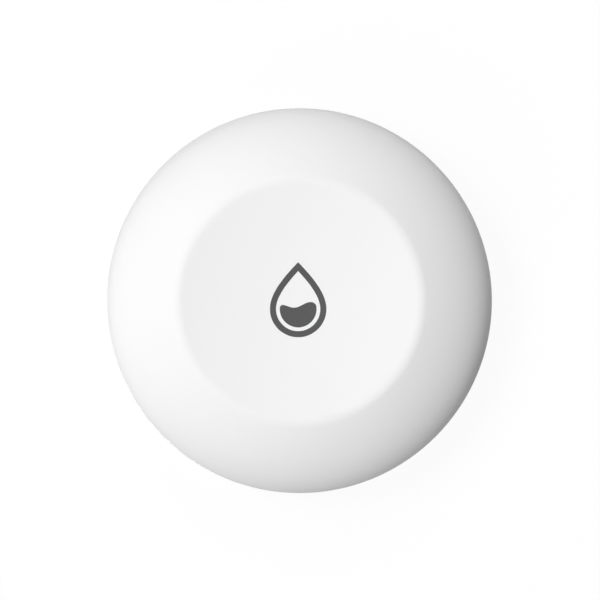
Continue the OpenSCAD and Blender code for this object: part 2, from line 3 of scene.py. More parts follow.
import bmesh
import bpy
import numpy as np
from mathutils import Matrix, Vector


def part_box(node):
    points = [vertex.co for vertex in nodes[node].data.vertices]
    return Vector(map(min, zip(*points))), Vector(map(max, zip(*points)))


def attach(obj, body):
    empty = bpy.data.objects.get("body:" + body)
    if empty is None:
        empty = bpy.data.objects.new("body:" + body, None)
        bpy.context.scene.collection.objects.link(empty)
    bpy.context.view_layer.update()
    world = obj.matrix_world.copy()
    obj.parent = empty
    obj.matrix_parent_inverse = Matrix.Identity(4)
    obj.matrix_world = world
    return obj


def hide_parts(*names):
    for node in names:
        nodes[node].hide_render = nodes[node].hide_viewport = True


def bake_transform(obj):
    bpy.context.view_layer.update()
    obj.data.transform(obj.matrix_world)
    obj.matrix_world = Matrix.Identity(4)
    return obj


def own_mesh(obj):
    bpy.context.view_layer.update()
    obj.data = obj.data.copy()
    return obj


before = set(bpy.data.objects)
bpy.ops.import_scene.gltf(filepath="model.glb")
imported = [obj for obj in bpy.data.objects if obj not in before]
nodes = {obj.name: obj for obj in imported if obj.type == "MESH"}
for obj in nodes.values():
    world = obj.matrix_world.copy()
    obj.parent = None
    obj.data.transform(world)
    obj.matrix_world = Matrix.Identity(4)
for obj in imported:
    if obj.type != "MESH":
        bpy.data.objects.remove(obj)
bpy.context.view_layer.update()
mm = 0.001
print("frame loaded,", len(nodes), "nodes")


# Shader maths

class Link:
    # One socket of a node tree, or no socket yet at its start. Sums and products on it add Math nodes.
    def __init__(self, tree, socket=None):
        self.tree = tree
        self.socket = socket

    # Any other node: its type, its settings, which are set first, and the values or links of its sockets
    def node(self, kind, settings=None, inputs=None, out=0):
        made = self.tree.nodes.new(kind)
        for key, value in (settings or {}).items():
            if key == "stops":
                ramp = made.color_ramp.elements
                while len(ramp) < len(value):
                    ramp.new(1.0)
                for stop, (position, colour) in zip(ramp, value):
                    stop.position = position
                    stop.color = colour
            else:
                setattr(made, key, value)
        for key, value in (inputs or {}).items():
            if isinstance(value, Link):
                self.tree.links.new(value.socket, made.inputs[key])
            else:
                made.inputs[key].default_value = value
        return made if out is None else Link(self.tree, made.outputs[out])

    def math(self, operation, first, second=0.0):
        return self.node("ShaderNodeMath", {"operation": operation}, {0: first, 1: second})

    def __add__(self, other):
        return self.math("ADD", self, other)

    def __sub__(self, other):
        return self.math("SUBTRACT", self, other)

    def __rsub__(self, other):
        return self.math("SUBTRACT", other, self)

    def __mul__(self, other):
        return self.math("MULTIPLY", self, other)

    def __truediv__(self, other):
        return self.math("DIVIDE", self, other)

    def __rtruediv__(self, other):
        return self.math("DIVIDE", other, self)

    def __pow__(self, other):
        return self.math("POWER", self, other)

    def __rpow__(self, other):
        return self.math("POWER", other, self)

    __radd__ = __add__
    __rmul__ = __mul__


# The emptied node tree of a material or a world
def freshTree(owner):
    owner.use_nodes = True
    owner.node_tree.nodes.clear()
    return Link(owner.node_tree)


# The first colour where the factor is 0, the second where it is 1
def colourMix(factor, first, second):
    return factor.node("ShaderNodeMix", {"data_type": "RGBA"}, {0: factor, 6: first, 7: second}, 2)


# Noise from 0 to 1 with patches of about the given size, and more fine structure with more detail
def noise(place, size, detail):
    sockets = {"Vector": place, "Scale": 1 / size, "Detail": detail}
    return place.node("ShaderNodeTexNoise", None, sockets, "Fac")


# A place scaled along each axis: a number under 1 draws a pattern out along that axis
def stretched(place, scale):
    return place.node("ShaderNodeMapping", None, {"Vector": place, "Scale": scale})


# Relief is the bump's strength and its depth
def bump(height, relief):
    strength, depth = relief
    sockets = {"Strength": strength, "Distance": depth, "Height": height}
    return height.node("ShaderNodeBump", None, sockets)


# The X and Y parts of a place
def flatAxes(place):
    split = place.node("ShaderNodeSeparateXYZ", None, {0: place}, None)
    return [Link(place.tree, split.outputs[axis]) for axis in ("X", "Y")]


# A material: plain values on the shader's own sockets, and a recipe for what varies over the surface
def paint(name, plain, recipe):
    material = bpy.data.materials.new(name)
    place = freshTree(material).node("ShaderNodeTexCoord", None, None, "Object")
    shader = place.node("ShaderNodeBsdfPrincipled", None, {**plain, **recipe(place)})
    place.node("ShaderNodeOutputMaterial", None, {"Surface": shader}, None)
    return material


# Finishes: what can be changed of each, and the recipe that uses it

shellFinish = {
    "light": (0.875, 0.875, 0.875, 1.0),
    "shade": (0.862, 0.862, 0.862, 1.0),
    "cloud": 9 * mm,         # size of the faint clouds in the plastic
    "grain": 0.14 * mm,      # size of the spark-eroded grain of the mould
    "finer": 3,              # how many times smaller the grain on that grain is
    "finerHeight": 0.5,
    "roughness": 0.54,
    "roughnessSpread": 0.08,
    "relief": (0.5, 0.002 * mm),
}


def shellRecipe(place):
    look = shellFinish
    cloud = noise(place, look["cloud"], detail=3.0)
    grain = noise(place, look["grain"], detail=1.0)
    finer = noise(place, look["grain"] / look["finer"], detail=0.0)
    return {
        "Base Color": colourMix(cloud, look["light"], look["shade"]),
        "Roughness": look["roughness"] + look["roughnessSpread"] * grain,
        "Normal": bump(grain + look["finerHeight"] * finer, look["relief"]),
    }


inkFinish = {
    "solid": (0.065, 0.065, 0.065, 1.0),
    "thin": (0.086, 0.086, 0.086, 1.0),
    "mottle": 0.25 * mm,
    "patch": 2.5 * mm,       # size of the patches in which the mottle shows
    "roughness": 0.5,
    "roughnessSpread": 0.16,
    "relief": (0.4, 0.003 * mm),
}


def inkRecipe(place):
    look = inkFinish
    mottle = noise(place, look["mottle"], detail=3.0)
    patch = noise(place, look["patch"], detail=1.0)
    return {
        "Base Color": colourMix(mottle * patch, look["solid"], look["thin"]),
        "Roughness": look["roughness"] + look["roughnessSpread"] * mottle,
        "Normal": bump(mottle, look["relief"]),
    }


rubberFinish = {
    "deep": (0.022, 0.022, 0.024, 1.0),
    "bloom": (0.06, 0.06, 0.062, 1.0),
    "dust": 1.2 * mm,
    "dustPower": 2.0,        # more leaves the bloom to the dustiest places
    "grain": 0.09 * mm,
    "roughness": 0.62,
    "roughnessSpread": 0.2,
    "relief": (0.5, 0.006 * mm),
}


def rubberRecipe(place):
    look = rubberFinish
    dust = noise(place, look["dust"], detail=4.0)
    grain = noise(place, look["grain"], detail=2.0)
    return {
        "Base Color": colourMix(dust ** look["dustPower"], look["deep"], look["bloom"]),
        "Roughness": look["roughness"] + look["roughnessSpread"] * dust,
        "Normal": bump(grain, look["relief"]),
    }


probeFinish = {
    "tones": [               # stops over the stain: clean steel, worn steel, a trace of tea stain
        (0.38, (0.63, 0.63, 0.62, 1.0)),
        (0.58, (0.56, 0.56, 0.555, 1.0)),
        (0.76, (0.5, 0.485, 0.465, 1.0)),
    ],
    "stain": 0.7 * mm,
    "across": 17.38 * mm,    # distance of the probes from the housing's axis
    "ring": 0.11 * mm,       # pitch of the turning marks
    "scratch": 0.06 * mm,
    "scratchRun": (1.0, 0.06, 1.0),
    "roughness": 0.2,
    "stainRoughness": 0.1,
    "scratchRoughness": 0.06,
    "relief": (0.5, 0.002 * mm),
}


# Rings of turning marks round each probe's own axis: sin(turn * distance from that axis / pitch)
def probeRecipe(place):
    look = probeFinish
    x, y = flatAxes(place)
    side = x.math("ABSOLUTE", x) - look["across"]
    distance = (side * side + y * y) ** 0.5
    rings = x.math("SINE", distance * (2 * math.pi / look["ring"]))
    stain = noise(place, look["stain"], detail=4.0)
    scratch = noise(stretched(place, look["scratchRun"]), look["scratch"], detail=2.0)
    roughness = look["roughness"] + look["stainRoughness"] * stain + look["scratchRoughness"] * scratch
    return {
        "Base Color": stain.node("ShaderNodeValToRGB", {"stops": look["tones"]}, {0: stain}),
        "Roughness": roughness,
        "Normal": bump(rings + scratch, look["relief"]),
    }


plateFinish = {
    "bright": (0.72, 0.71, 0.68, 1.0),
    "dull": (0.55, 0.545, 0.525, 1.0),
    "blotch": 2.2 * mm,
    "line": 0.05 * mm,
    "lineRun": (0.03, 1.0, 1.0),
    "roughness": 0.24,
    "lineRoughness": 0.16,
    "blotchRoughness": 0.1,
    "relief": (0.4, 0.002 * mm),
}


# Nickel plate: rolling lines along X, blotches where it dulls
def plateRecipe(place):
    look = plateFinish
    lines = noise(stretched(place, look["lineRun"]), look["line"], detail=2.0)
    blotch = noise(place, look["blotch"], detail=4.0)
    roughness = look["roughness"] + look["lineRoughness"] * lines + look["blotchRoughness"] * blotch
    return {
        "Base Color": colourMix(blotch, look["bright"], look["dull"]),
        "Roughness": roughness,
        "Normal": bump(lines, look["relief"]),
    }


brassFinish = {
    "bright": (0.8, 0.6, 0.29, 1.0),
    "tarnished": (0.55, 0.37, 0.16, 1.0),
    "tarnish": 1.6 * mm,
    "tarnishPower": 2.0,
    "line": 0.08 * mm,
    "lineRun": (0.05, 0.05, 1.0),
    "roughness": 0.22,
    "roughnessSpread": 0.2,
    "relief": (0.5, 0.003 * mm),
}


# Turned brass: tool lines across the Z axis
def brassRecipe(place):
    look = brassFinish
    lines = noise(stretched(place, look["lineRun"]), look["line"], detail=1.0)
    tarnish = noise(place, look["tarnish"], detail=4.0)
    return {
        "Base Color": colourMix(tarnish ** look["tarnishPower"], look["bright"], look["tarnished"]),
        "Roughness": look["roughness"] + look["roughnessSpread"] * tarnish,
        "Normal": bump(lines, look["relief"]),
    }


boardFinish = {
    "mask": (0.012, 0.12, 0.05, 1.0),
    "overCopper": (0.03, 0.21, 0.085, 1.0),
    "track": 1.6 * mm,       # pitch of the tracks under the solder mask
    "trackEdge": (0.2, 0.45),    # heights of the wave between which a track's edge rises
    "bend": 7 * mm,          # size of the bends in the tracks
    "bendPitches": 3.0,      # how many pitches a bend reaches
    "weave": 0.55 * mm,      # pitch of the glass threads
    "weaveHeight": 0.2,
    "roughness": 0.33,
    "weaveRoughness": 0.05,
    "bendRoughness": 0.08,
    "relief": (0.4, 0.015 * mm),
}


# Solder mask: lighter over the tracks, and the glass weave showing faintly through
def boardRecipe(place):
    look = boardFinish
    x, y = flatAxes(place)
    bend = noise(place, look["bend"], detail=0.0)
    wave = x.math("SINE", (y / look["track"] + look["bendPitches"] * bend) * (2 * math.pi))
    low, high = look["trackEdge"]
    track = x.node("ShaderNodeMapRange", None, {"Value": wave, "From Min": low, "From Max": high})
    threadX = x.math("SINE", x * (2 * math.pi / look["weave"]))
    threadY = x.math("SINE", y * (2 * math.pi / look["weave"]))
    weave = threadX * threadY
    return {
        "Base Color": colourMix(track, look["mask"], look["overCopper"]),
        "Roughness": look["roughness"] + look["weaveRoughness"] * weave + look["bendRoughness"] * bend,
        "Normal": bump(track + look["weaveHeight"] * weave, look["relief"]),
    }


epoxyFinish = {
    "dark": (0.016, 0.016, 0.017, 1.0),
    "speck": (0.055, 0.055, 0.057, 1.0),
    "grain": 0.08 * mm,
    "speckPower": 3.0,       # more makes the specks fewer
    "roughness": 0.5,
    "roughnessSpread": 0.2,
    "relief": (0.6, 0.006 * mm),
}


def epoxyRecipe(place):
    look = epoxyFinish
    grain = noise(place, look["grain"], detail=3.0)
    return {
        "Base Color": colourMix(grain ** look["speckPower"], look["dark"], look["speck"]),
        "Roughness": look["roughness"] + look["roughnessSpread"] * grain,
        "Normal": bump(grain, look["relief"]),
    }


ceramicFinish = {
    "body": (0.46, 0.31, 0.18, 1.0),
    "tin": (0.72, 0.72, 0.71, 1.0),
    "speck": (0.3, 0.24, 0.18, 1.0),
    "speckShare": 0.25,
    "first": 5.2 * mm,       # place of the first column of chips along X
    "column": 3.2 * mm,      # pitch of the columns
    "bare": 0.4 * mm,        # half length of the ceramic between the tinned ends
    "grain": 0.12 * mm,
    "roughness": 0.5,
    "tinSmooth": 0.2,        # how much smoother the tin is
    "roughnessSpread": 0.15,
    "relief": (0.5, 0.006 * mm),
}


# Tinned ends: the distance along X from the middle of the nearest chip is over half the bare length
def ceramicRecipe(place):
    look = ceramicFinish
    x = flatAxes(place)[0]
    column = x.math("ROUND", (x - look["first"]) / look["column"])
    offset = x.math("ABSOLUTE", x - look["first"] - column * look["column"])
    tinned = x.math("GREATER_THAN", offset, look["bare"])
    grain = noise(place, look["grain"], detail=3.0)
    colour = colourMix(tinned, look["body"], look["tin"])
    return {
        "Base Color": colourMix(look["speckShare"] * grain, colour, look["speck"]),
        "Roughness": look["roughness"] - look["tinSmooth"] * tinned + look["roughnessSpread"] * grain,
        "Metallic": tinned,
        "Normal": bump(grain, look["relief"]),
    }


copperFinish = {
    "bright": (0.83, 0.56, 0.3, 1.0),
    "dull": (0.66, 0.37, 0.19, 1.0),
    "stain": 1.1 * mm,
    "line": 0.07 * mm,
    "lineRun": (1.0, 0.08, 1.0),
    "roughness": 0.25,
    "roughnessSpread": 0.2,
    "relief": (0.4, 0.002 * mm),
}


def copperRecipe(place):
    look = copperFinish
    stain = noise(place, look["stain"], detail=4.0)
    lines = noise(stretched(place, look["lineRun"]), look["line"], detail=1.0)
    return {
        "Base Color": colourMix(stain, look["bright"], look["dull"]),
        "Roughness": look["roughness"] + look["roughnessSpread"] * stain,
        "Normal": bump(lines, look["relief"]),
    }


resinFinish = {
    "clear": (0.86, 0.84, 0.62, 1.0),
    "deep": (0.78, 0.7, 0.36, 1.0),
    "haze": 0.5 * mm,
    "roughness": 0.14,
    "roughnessSpread": 0.12,
    "relief": (0.2, 0.004 * mm),
}


def resinRecipe(place):
    look = resinFinish
    haze = noise(place, look["haze"], detail=2.0)
    return {
        "Base Color": colourMix(haze, look["clear"], look["deep"]),
        "Roughness": look["roughness"] + look["roughnessSpread"] * haze,
        "Normal": bump(haze, look["relief"]),
    }


shellPlastic = paint("shellPlastic", {"Specular IOR Level": 0.2}, shellRecipe)
signInk = paint("signInk", {"Specular IOR Level": 0.3}, inkRecipe)
sealRubber = paint("sealRubber", {"Specular IOR Level": 0.3}, rubberRecipe)
probeSteel = paint("probeSteel", {"Metallic": 1.0}, probeRecipe)
nickelPlate = paint("nickelPlate", {"Metallic": 1.0}, plateRecipe)
turnedBrass = paint("turnedBrass", {"Metallic": 1.0}, brassRecipe)
solderMask = paint("solderMask", {"Coat Weight": 0.3, "Coat Roughness": 0.15}, boardRecipe)
chipEpoxy = paint("chipEpoxy", {"Specular IOR Level": 0.4}, epoxyRecipe)
chipCeramic = paint("chipCeramic", {"Specular IOR Level": 0.5}, ceramicRecipe)
antennaFoil = paint("antennaFoil", {"Metallic": 1.0}, copperRecipe)
lampResin = paint("lampResin", {"Coat Weight": 0.5, "Coat Roughness": 0.05}, resinRecipe)
print("finishes made")


# Meshes

mergeGap = 1e-7    # points nearer than this become one


# Cells of a grid of points, numbered row by row; a wrapped direction joins its last line to its first
def gridCells(rows, columns, wrapRows, wrapColumns):
    row, left = np.meshgrid(
        np.arange(rows if wrapRows else rows - 1),
        np.arange(columns if wrapColumns else columns - 1),
        indexing="ij",
    )
    right = (left + 1) % columns
    low = row * columns
    high = (row + 1) % rows * columns
    return np.stack([low + left, low + right, high + right, high + left], -1).reshape(-1, 4)


# Doubles are merged, which closes seams and poles; a new closed skin then has its faces turned outwards
def makePiece(name, points, faces, material, sharp=35, turnOut=True):
    mesh = bpy.data.meshes.new(name)
    mesh.from_pydata(points.tolist(), [], faces.tolist())
    work = bmesh.new()
    work.from_mesh(mesh)
    bmesh.ops.remove_doubles(work, verts=work.verts, dist=mergeGap)
    if turnOut:
        bmesh.ops.recalc_face_normals(work, faces=work.faces)
    work.to_mesh(mesh)
    work.free()
    mesh.shade_smooth()
    mesh.set_sharp_from_angle(angle=math.radians(sharp))    # edges past this angle stay sharp
    mesh.materials.append(material)
    piece = bpy.data.objects.new(name, mesh)
    bpy.context.scene.collection.objects.link(piece)
    return piece


# Profile carried round Z: point = (r cos a, r sin a, z)
def revolve(profile, segments):
    turn = np.linspace(0, 2 * math.pi, segments, endpoint=False)
    r, z = np.asarray(profile, float).T
    grid = np.stack([
        np.outer(r, np.cos(turn)),
        np.outer(r, np.sin(turn)),
        np.outer(z, np.ones(segments)),
    ], -1)
    return grid.reshape(-1, 3) * mm


# Points of a profile from radii and heights; a single number serves all points
def line(r, z):
    return np.stack(np.broadcast_arrays(np.asarray(r, float), np.asarray(z, float)), -1).reshape(-1, 2)


# Housing, in millimetres

form = {
    "bodyR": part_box("top_cover")[1].x / mm,
    "bodyH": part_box("flex_ring")[1].z / mm,
    "domeRise": 10.3,        # from the widest line to the height where the dome would close
    "domePower": 1.5,        # 2 would make the dome an ellipse
    "creaseR": 15.85,        # where dish and dome would meet without a rounded crest
    "dishDepth": 1.2,
    "crestW": 1.4,           # width over which the crest is rounded
    "crestReach": 1.6,       # width on each side of the crest that has finer steps
    "crestSteps": 61,
    "searchSteps": 20001,    # radii among which the highest line of the crest is found
    "webWall": 0.6,          # thin wall under the crest, which flexes
    "flatR": 19.0,           # edge of the flat underside
    "baseZ": 0.8,            # height of that flat
    "segments": 288,
}

# Slopes of dome and dish at the crease, and the heights that put the top of the rounded crest at bodyH
creaseAt = form["creaseR"] / form["bodyR"]
creaseShare = math.sqrt(1 - creaseAt ** form["domePower"])
domeSlope = (form["domeRise"] * form["domePower"] / 2
             * creaseAt ** (form["domePower"] - 1) / form["bodyR"] / creaseShare)
dishSlope = 2 * form["dishDepth"] / form["creaseR"]
crestBlend = (domeSlope + dishSlope) * form["crestW"] / 2
creaseZ = form["bodyH"] + crestBlend * domeSlope * dishSlope / (domeSlope + dishSlope) ** 2
widestZ = creaseZ - form["domeRise"] * creaseShare


# Dome: widest + rise * sqrt(1 - (r / R) ^ power)
def domeZ(r, rise=form["domeRise"], outR=form["bodyR"]):
    return widestZ + rise * np.sqrt(np.maximum(0, 1 - (r / outR) ** form["domePower"]))


# Dish: crease - depth * (1 - (r / crease radius) ^ 2)
def dishZ(r):
    return creaseZ - form["dishDepth"] * (1 - (r / form["creaseR"]) ** 2)


# Crest: the lower of dish and dome, less blend * near ^ 2 / 4 where they come close
def topZ(r):
    near = np.maximum(0, 1 - np.abs(domeZ(r) - dishZ(r)) / crestBlend)
    return np.minimum(domeZ(r), dishZ(r)) - crestBlend * near ** 2 / 4


# Underside: a quarter ellipse from the widest line down to the flat
def underR(z):
    share = (widestZ - z) / (widestZ - form["baseZ"])
    return form["flatR"] + (form["bodyR"] - form["flatR"]) * np.sqrt(1 - share ** 2)


crestNear = np.linspace(form["creaseR"] - form["crestW"], form["creaseR"] + form["crestW"],
                        form["searchSteps"])
crestR = crestNear[np.argmax(topZ(crestNear))]
crestEase = np.linspace(0, 1, form["crestSteps"]) ** 2    # steps that start very fine at the crest


# Cover: crest, dome, tuck under the widest line, rounded edge at the seam, skirt, inner dome and web

cover = {
    "seamDrop": 1.2,         # from the widest line down to the seam
    "edge": 0.12,            # radius of the edge at the seam
    "skirtR": 23.2,          # inside of the skirt round the base's spigot
    "skirtGap": 0.12,        # from the spigot's top up to the step in the cover
    "innerR": 23.4,          # inner dome at the widest line
    "innerRise": 8.7,
    "webR": 16.65,           # outer edge of the thin wall under the crest
    "domeSteps": 100,
    "tuckSteps": 10,
    "edgeSteps": 6,
    "innerSteps": 40,
    "webSteps": 20,
}
seamZ = widestZ - cover["seamDrop"]
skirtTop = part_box("base_shell")[1].z / mm + cover["skirtGap"]
crestSide = crestR + form["crestReach"] * crestEase
domeStart = math.asin(crestSide[-1] / form["bodyR"])
domeSide = form["bodyR"] * np.sin(np.linspace(domeStart, math.pi / 2, cover["domeSteps"])[1:])
tuckZ = np.linspace(widestZ, seamZ + cover["edge"], cover["tuckSteps"])[1:]
edgeTurn = np.linspace(0, math.pi / 2, cover["edgeSteps"])[1:]
edgeR = underR(seamZ + cover["edge"]) - cover["edge"] * (1 - np.cos(edgeTurn))
edgeZ = seamZ + cover["edge"] * (1 - np.sin(edgeTurn))
stepShare = (skirtTop - widestZ) / cover["innerRise"]
stepR = cover["innerR"] * (1 - stepShare ** 2) ** (1 / form["domePower"])
innerSide = np.linspace(stepR, cover["webR"], cover["innerSteps"])
webSide = np.linspace(cover["webR"], crestR, cover["webSteps"])
coverProfile = np.concatenate([
    line(crestSide, topZ(crestSide)),
    line(domeSide, topZ(domeSide)),
    line(underR(tuckZ), tuckZ),
    line(edgeR, edgeZ),
    line(cover["skirtR"], [seamZ, skirtTop]),
    line(innerSide, domeZ(innerSide, cover["innerRise"], cover["innerR"])),
    line(webSide, topZ(webSide) - form["webWall"]),
])
coverCells = gridCells(len(coverProfile), form["segments"], True, True)
coverDome = makePiece("coverDome", revolve(coverProfile, form["segments"]), coverCells, shellPlastic)
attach(coverDome, "housing")
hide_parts("top_cover")
print("cover made,", len(coverDome.data.polygons), "faces")


# Dish: pressed surface out to the crest, thin web, thicker plate and the post over the switch

dish = {
    "edgeR": 15.03,          # inner edge of the thin wall under the crest
    "wall": 1.3,
    "postR": 2.2,
    "postZ": 10.81,          # lower end of the post
    "postEdge": 0.2,         # chamfer of the post
    "flexDepth": 0.45,       # height below the crest over which the dish bends when it is pressed
    "bowlSteps": 48,
    "webSteps": 12,
    "plateSteps": 40,
}
bowlSide = np.linspace(0, crestR - form["crestReach"], dish["bowlSteps"])
crestInside = (crestR - form["crestReach"] * crestEase)[::-1][1:]
webInside = np.linspace(crestR, dish["edgeR"], dish["webSteps"])
plateSide = np.linspace(dish["edgeR"], dish["postR"], dish["plateSteps"])
dishProfile = np.concatenate([
    line(bowlSide, topZ(bowlSide)),
    line(crestInside, topZ(crestInside)),
    line(webInside, topZ(webInside) - form["webWall"]),
    line(plateSide, dishZ(plateSide) - dish["wall"]),
    line(
        [dish["postR"], dish["postR"] - dish["postEdge"], 0],
        [dish["postZ"] + dish["postEdge"], dish["postZ"], dish["postZ"]],
    ),
])
dishCells = gridCells(len(dishProfile), form["segments"], False, True)
dishMembrane = makePiece("dishMembrane", revolve(dishProfile, form["segments"]), dishCells, shellPlastic)
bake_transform(dishMembrane)
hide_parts("press_dish", "flex_ring")
print("dish made,", len(dishMembrane.data.polygons), "faces")


# Ribs under the dish: a rectangle carried outwards from the post, its upper side inside the plate

ribs = {
    "count": 6,
    "width": 0.9,
    "depth": 0.8,            # below the plate at the middle of the dish
    "inR": 1.8,
    "outR": 13.53,
    "steps": 16,
}
ribAlong = np.linspace(ribs["inR"], ribs["outR"], ribs["steps"])
ribTop = dishZ(ribAlong) - dish["wall"] / 2
ribFoot = np.full_like(ribAlong, dishZ(0) - dish["wall"] - ribs["depth"])
ribSide = np.full_like(ribAlong, ribs["width"] / 2)
sections = np.stack([
    np.stack([ribAlong, -ribSide, ribFoot], -1),
    np.stack([ribAlong, ribSide, ribFoot], -1),
    np.stack([ribAlong, ribSide, ribTop], -1),
    np.stack([ribAlong, -ribSide, ribTop], -1),
], 1)
ends = sections[[0, -1]].mean(1, keepdims=True).repeat(sections.shape[1], 1)
rib = np.concatenate([ends[:1], sections, ends[1:]])
outwards, sideways, upwards = np.moveaxis(rib, -1, 0)
ribTurn = np.arange(ribs["count"])[:, None, None] * 2 * math.pi / ribs["count"]
ribPoints = np.stack([
    outwards * np.cos(ribTurn) - sideways * np.sin(ribTurn),
    outwards * np.sin(ribTurn) + sideways * np.cos(ribTurn),
    np.broadcast_to(upwards, (ribs["count"],) + upwards.shape),
], -1)
firstPoint = np.arange(ribs["count"])[:, None, None] * upwards.size
ribCells = (gridCells(upwards.shape[0], upwards.shape[1], False, True) + firstPoint).reshape(-1, 4)
dishRibs = makePiece("dishRibs", ribPoints.reshape(-1, 3) * mm, ribCells, shellPlastic)
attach(dishRibs, "press_dish")
print("ribs made")


# Printed drop: an outline of even width round a level with a wavy top

drop = {
    "x": -0.176,             # middle of the round lower part
    "y": -1.074,
    "roundR": 3.659,
    "tip": 6.062,            # height of the tip above the middle of that round
    "tipAngle": 44.4,        # between each side and the middle line at the tip, in degrees
    "tipReach": 3.963,       # how far the sides hold that direction
    "stroke": 0.788,         # width of the outline
    "levelY": -1.081,        # middle of the level's round
    "levelR": 2.38,
    "hubDrop": 1 / 3,        # share of that radius from its middle down to the hub of the level's spokes
    "waveY": -0.588,
    "waveTilt": 0.091,
    "waveH": 0.272,
    "waveX": -0.583,         # place of the dip
    "waveL": 3.835,
    "corner": 0.378,         # radius of the level's two corners
    "film": 0.012,           # ink above the dish
    "sunk": 0.02,            # depth of the ink's lower side inside the dish
    "curveSteps": 400,
    "sideSteps": 48,
    "roundSteps": 72,
    "strokeSteps": 7,
    "spokes": 240,
    "spokeSteps": 9,
    "halvings": 40,
}
tipTurn = math.radians(drop["tipAngle"])
tipX = drop["tipReach"] * math.sin(tipTurn)
tipY = drop["tip"] - drop["tipReach"] * math.cos(tipTurn)
# With this rise the side starts with the curvature of the round
sideRise = math.sqrt(drop["roundR"] * (drop["roundR"] - tipX) * 2 / 3)
sidePoints = np.array([[drop["roundR"], 0], [drop["roundR"], sideRise], [tipX, tipY], [0, drop["tip"]]])


# Right side: a cubic curve from the round to the tip, moved in along its normals, cut at the middle line
def dropSide(inset):
    t = np.linspace(0, 1, drop["curveSteps"])
    weights = np.stack([(1 - t) ** 3, 3 * t * (1 - t) ** 2, 3 * t ** 2 * (1 - t), t ** 3], -1)
    slopes = np.stack([(1 - t) ** 2, 2 * t * (1 - t), t ** 2], -1) @ np.diff(sidePoints, axis=0)
    inwards = slopes @ np.array([[0, 1], [-1, 0]]) / np.linalg.norm(slopes, axis=1, keepdims=True)
    x, y = (weights @ sidePoints + inset * inwards).T
    kept = np.linspace(np.interp(0, x[::-1], t[::-1]), 0, drop["sideSteps"], endpoint=False)
    return np.stack([np.interp(kept, t, x), np.interp(kept, t, y)], -1)


# Outline drawn in by an inset: from the tip down the right side, round the bottom and up the left side
def dropOutline(inset):
    turn = np.linspace(0, -math.pi / 2, drop["roundSteps"], endpoint=False)
    quarter = (drop["roundR"] - inset) * np.stack([np.cos(turn), np.sin(turn)], -1)
    right = np.concatenate([dropSide(inset), quarter])
    bottom = np.array([[0, inset - drop["roundR"]]])
    left = right[:0:-1] * np.array([-1, 1])
    return np.concatenate([right, bottom, left]) + np.array([drop["x"], drop["y"]])


# Points laid on the dish at a height above it
def onDish(flat, lift):
    z = dishZ(np.hypot(flat[..., 0], flat[..., 1])) + lift
    return np.concatenate([flat, z[..., None]], -1)


insets = np.linspace(0, drop["stroke"], drop["strokeSteps"])
outlines = np.stack([dropOutline(inset) for inset in insets])
ringGrid = np.concatenate([onDish(outlines, drop["film"]), onDish(outlines[[-1, 0]], -drop["sunk"])])
ringCells = gridCells(ringGrid.shape[0], ringGrid.shape[1], True, True)
dropRing = makePiece("dropRing", ringGrid.reshape(-1, 3) * mm, ringCells, signInk)


# Level: positive inside the round and under the wave, with their meeting rounded by the corner radius
def levelInside(x, y):
    wave = (drop["waveY"] + drop["waveTilt"] * (x - drop["x"])
            - drop["waveH"] * np.cos((x - drop["waveX"]) * 2 * math.pi / drop["waveL"]))
    inRound = np.minimum(drop["levelR"] - np.hypot(x - drop["x"], y - drop["levelY"]), drop["corner"])
    inWave = np.minimum(wave - y, drop["corner"])
    return drop["corner"] - np.hypot(drop["corner"] - inRound, drop["corner"] - inWave)


hub = np.array([drop["x"], drop["levelY"] - drop["levelR"] * drop["hubDrop"]])
spokeTurn = np.linspace(0, 2 * math.pi, drop["spokes"], endpoint=False)
spokeWay = np.stack([np.cos(spokeTurn), np.sin(spokeTurn)], -1)
reachIn = np.zeros(drop["spokes"])
reachOut = np.full(drop["spokes"], 2 * drop["levelR"])
for halving in range(drop["halvings"]):    # halves every spoke's search at once
    reach = (reachIn + reachOut) / 2
    x, y = (hub + reach[:, None] * spokeWay).T
    inside = levelInside(x, y) > 0
    reachIn = np.where(inside, reach, reachIn)
    reachOut = np.where(inside, reachOut, reach)
spokeShare = np.linspace(0, 1, drop["spokeSteps"])
flatLevel = hub + spokeShare[:, None, None] * (reachIn[:, None] * spokeWay)
levelGrid = np.concatenate([onDish(flatLevel, drop["film"]), onDish(flatLevel[::-1], -drop["sunk"])])
levelCells = gridCells(levelGrid.shape[0], levelGrid.shape[1], False, True)
dropLevel = makePiece("dropLevel", levelGrid.reshape(-1, 3) * mm, levelCells, signInk)
for sign in (dropRing, dropLevel):
    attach(sign, "press_dish")
print("sign made")


# Snap dome of the switch: rise * (1 - (r / R) ^ 2), a sheet thick

snap = {
    "sheet": 0.08,
    "keep": 0.5,             # share of its height that is left when the switch is pressed
    "steps": 24,
    "segments": 96,
}
snapLow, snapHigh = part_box("switch_snap_dome")
snapR = snapHigh.x / mm
snapRise = (snapHigh.z - snapLow.z) / mm - snap["sheet"]
snapSide = snapR * np.linspace(0, 1, snap["steps"])
snapUnder = snapLow.z / mm + snapRise * (1 - (snapSide / snapR) ** 2)
snapOver = snapUnder + snap["sheet"]
snapProfile = np.concatenate([line(snapSide, snapUnder), line(snapSide, snapOver)[::-1]])
snapCells = gridCells(len(snapProfile), snap["segments"], False, True)
snapDome = makePiece("snapDome", revolve(snapProfile, snap["segments"]), snapCells, nickelPlate)
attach(snapDome, "housing")
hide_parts("switch_snap_dome")
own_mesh(snapDome)
print("snap dome made")


# Smooth copies of the turned and moulded nodes: node, piece, finish, body, slot

